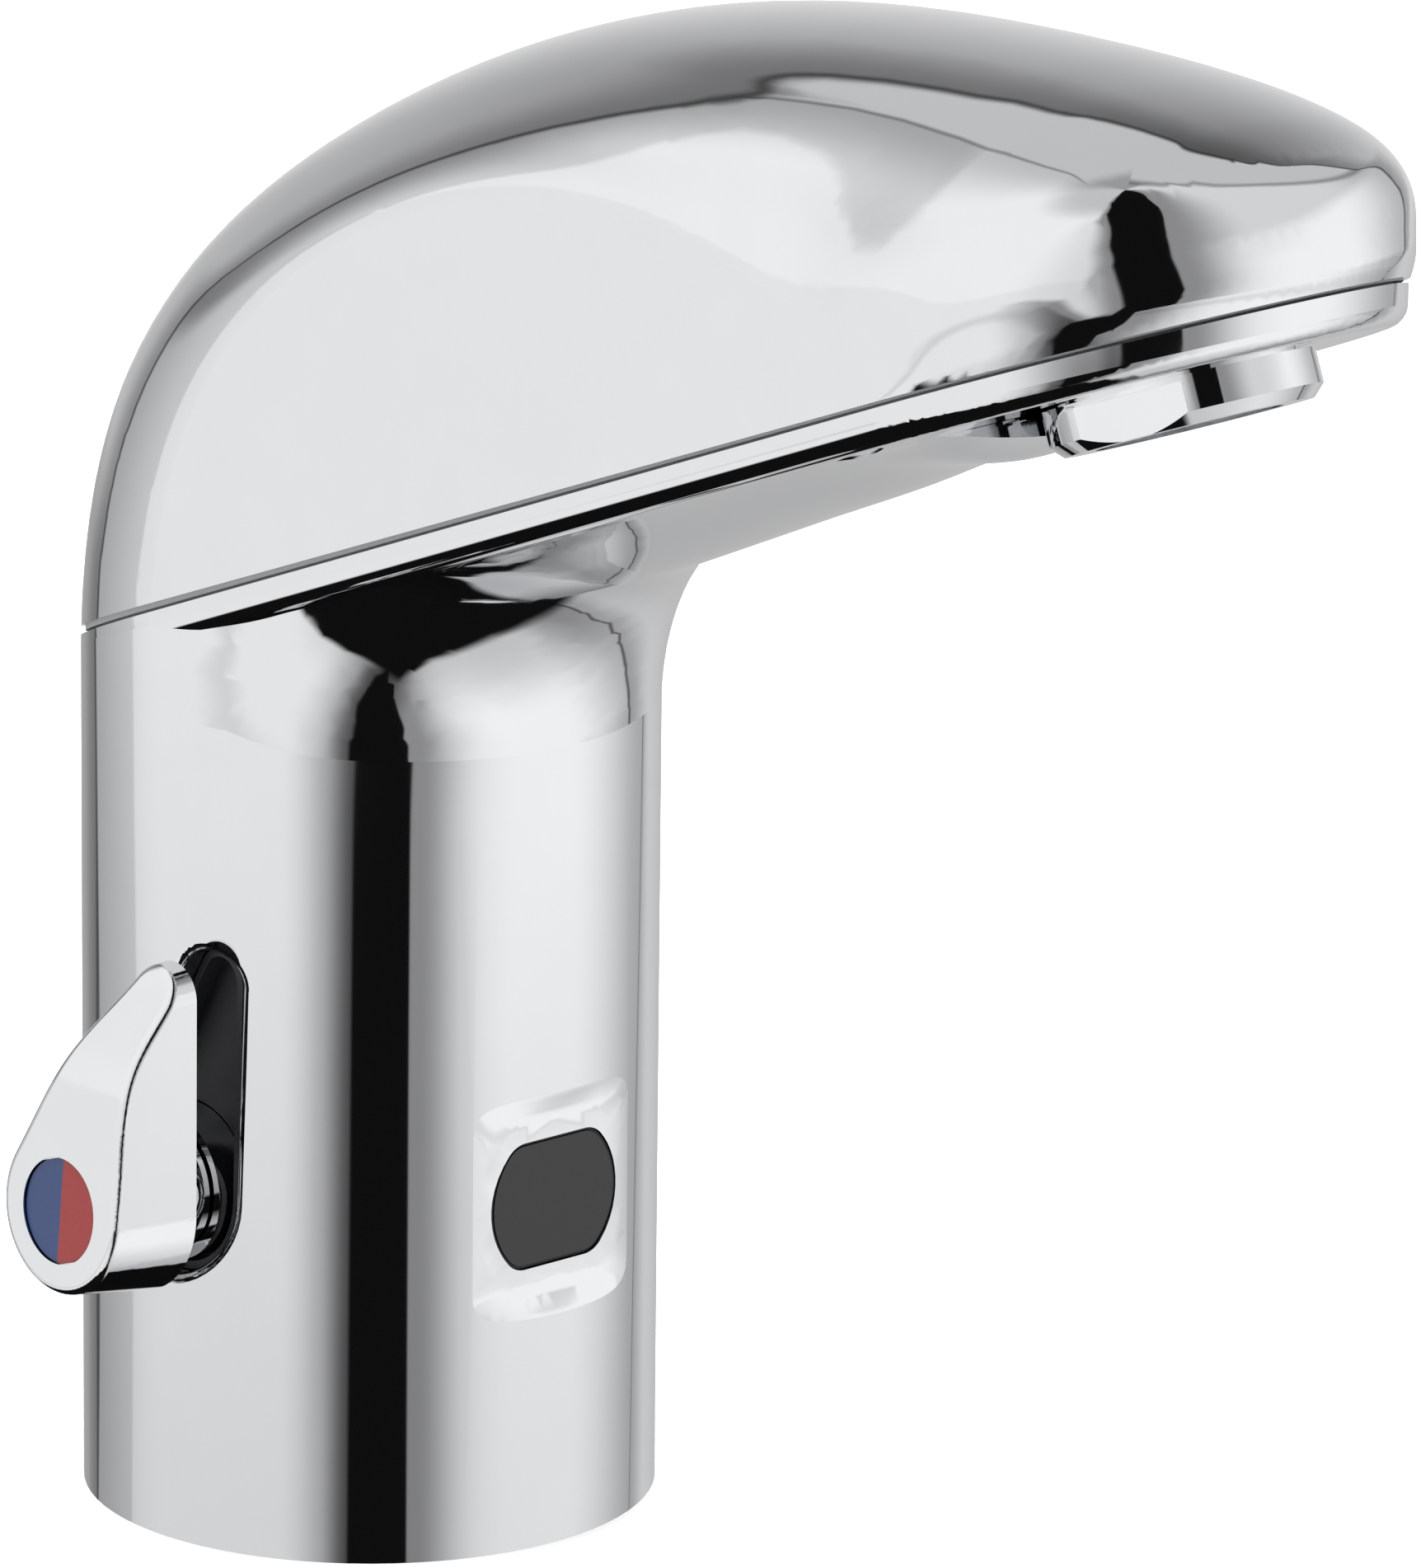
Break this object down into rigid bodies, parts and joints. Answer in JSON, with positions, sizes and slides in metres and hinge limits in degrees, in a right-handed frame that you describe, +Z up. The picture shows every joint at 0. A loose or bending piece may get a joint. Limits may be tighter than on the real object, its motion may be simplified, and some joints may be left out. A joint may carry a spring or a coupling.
{
  "type": "electronic basin tap",
  "caption": "Chrome hands-free basin tap: round column with a dark sensor window, long sloping spout under a domed cover, and a side lever for temperature",
  "frame": {"origin": "Centre of the flat base on the column's axis, at the deck surface it stands on.", "axes": "+Z up along the column. The spout points along -Y and the temperature lever stands out along -X."},
  "size_m": [0.0738, 0.1652, 0.1692],
  "materials": {
    "chromed_casting": "bright decorative chrome over cast brass",
    "chromed_cover": "bright decorative chrome over die-cast zinc",
    "chromed_trim": "bright decorative chrome",
    "steel": "plain stainless steel",
    "brass": "machined brass",
    "grey_seal": "mid-grey sealing strip",
    "black_rubber": "black rubber",
    "grey_plastic": "grey acetal",
    "black_plastic": "black glass-filled nylon",
    "white_plastic": "white acetal",
    "smoked_lens": "dark infrared-clear polycarbonate",
    "clear_lens": "water-clear epoxy",
    "circuit_board": "green solder mask",
    "white_ceramic": "lapped alumina",
    "blue_plastic": "blue moulded plastic",
    "red_plastic": "red moulded plastic",
    "copper_winding": "enamelled copper winding",
    "copper_pipe": "drawn copper pipe",
    "battery_wrap": "plain shrink-wrapped lithium battery",
    "lead_sleeve": "black insulated wire"
  },
  "bodies": {
    "tap": {"body_casting": "chromed_casting", "top_cover": "chromed_cover", "cover_screw": "steel", "cover_gasket": "grey_seal", "aerator_ring": "chromed_trim", "outlet_grid": "grey_plastic", "jet_insert": "grey_plastic", "flow_regulator": "grey_plastic", "aerator_washer": "black_rubber", "sensor_window": "smoked_lens", "window_gasket": "black_rubber", "sensor_housing": "black_plastic", "sensor_board": "circuit_board", "infrared_emitter": "clear_lens", "infrared_receiver": "smoked_lens", "sensor_bracket": "steel", "bracket_screws": "steel", "slot_liner": "black_plastic", "cartridge_nut": "brass", "cartridge_sleeve": "grey_plastic", "fixed_disc": "white_ceramic", "spindle_seal": "black_rubber", "spindle_collar": "chromed_trim", "base_gasket": "black_rubber", "base_plate": "brass", "base_screws": "steel", "valve_block": "brass", "inlet_strainers": "steel", "cold_check_sleeve": "white_plastic", "cold_check_spring": "steel", "hot_check_sleeve": "white_plastic", "hot_check_spring": "steel", "valve_base": "brass", "diaphragm": "black_rubber", "valve_bonnet": "black_plastic", "bonnet_screws": "steel", "core_tube": "steel", "plunger_spring": "steel", "solenoid_coil": "copper_winding", "coil_shroud": "black_plastic", "outlet_pipe": "copper_pipe", "pipe_seals": "black_rubber", "chassis": "grey_plastic", "chassis_screws": "steel", "battery_box": "black_plastic", "battery": "battery_wrap", "battery_lid": "black_plastic", "control_box": "white_plastic", "control_board": "circuit_board", "control_lid": "white_plastic", "internal_leads": "lead_sleeve"},
    "lever_handle": {"lever": "chromed_trim", "cold_marker": "blue_plastic", "hot_marker": "red_plastic", "lever_grub": "steel", "spindle": "brass", "moving_disc": "white_ceramic"},
    "solenoid_plunger": {"plunger": "steel"},
    "cold_poppet": {"cold_check_poppet": "white_plastic"},
    "hot_poppet": {"hot_check_poppet": "white_plastic"}
  },
  "joints": [
    {"name": "lever_turn", "type": "hinge", "parent": "tap", "child": "lever_handle", "pos_m": [0, -0.001, 0.0377], "axis": [-1, 0, 0], "range_deg": [-45, 45]},
    {"name": "plunger_lift", "type": "slide", "parent": "tap", "child": "solenoid_plunger", "axis": [0, 0, 1], "range_m": [0, 0.002], "stiffness_N_per_m": 300, "springref_m": -0.002, "deforming": ["plunger_spring"]},
    {"name": "cold_poppet_lift", "type": "slide", "parent": "tap", "child": "cold_poppet", "axis": [0, 0, 1], "range_m": [0, 0.002], "stiffness_N_per_m": 100, "springref_m": -0.002, "deforming": ["cold_check_spring"]},
    {"name": "hot_poppet_lift", "type": "slide", "parent": "tap", "child": "hot_poppet", "axis": [0, 0, 1], "range_m": [0, 0.002], "stiffness_N_per_m": 100, "springref_m": -0.002, "deforming": ["hot_check_spring"]}
  ]
}
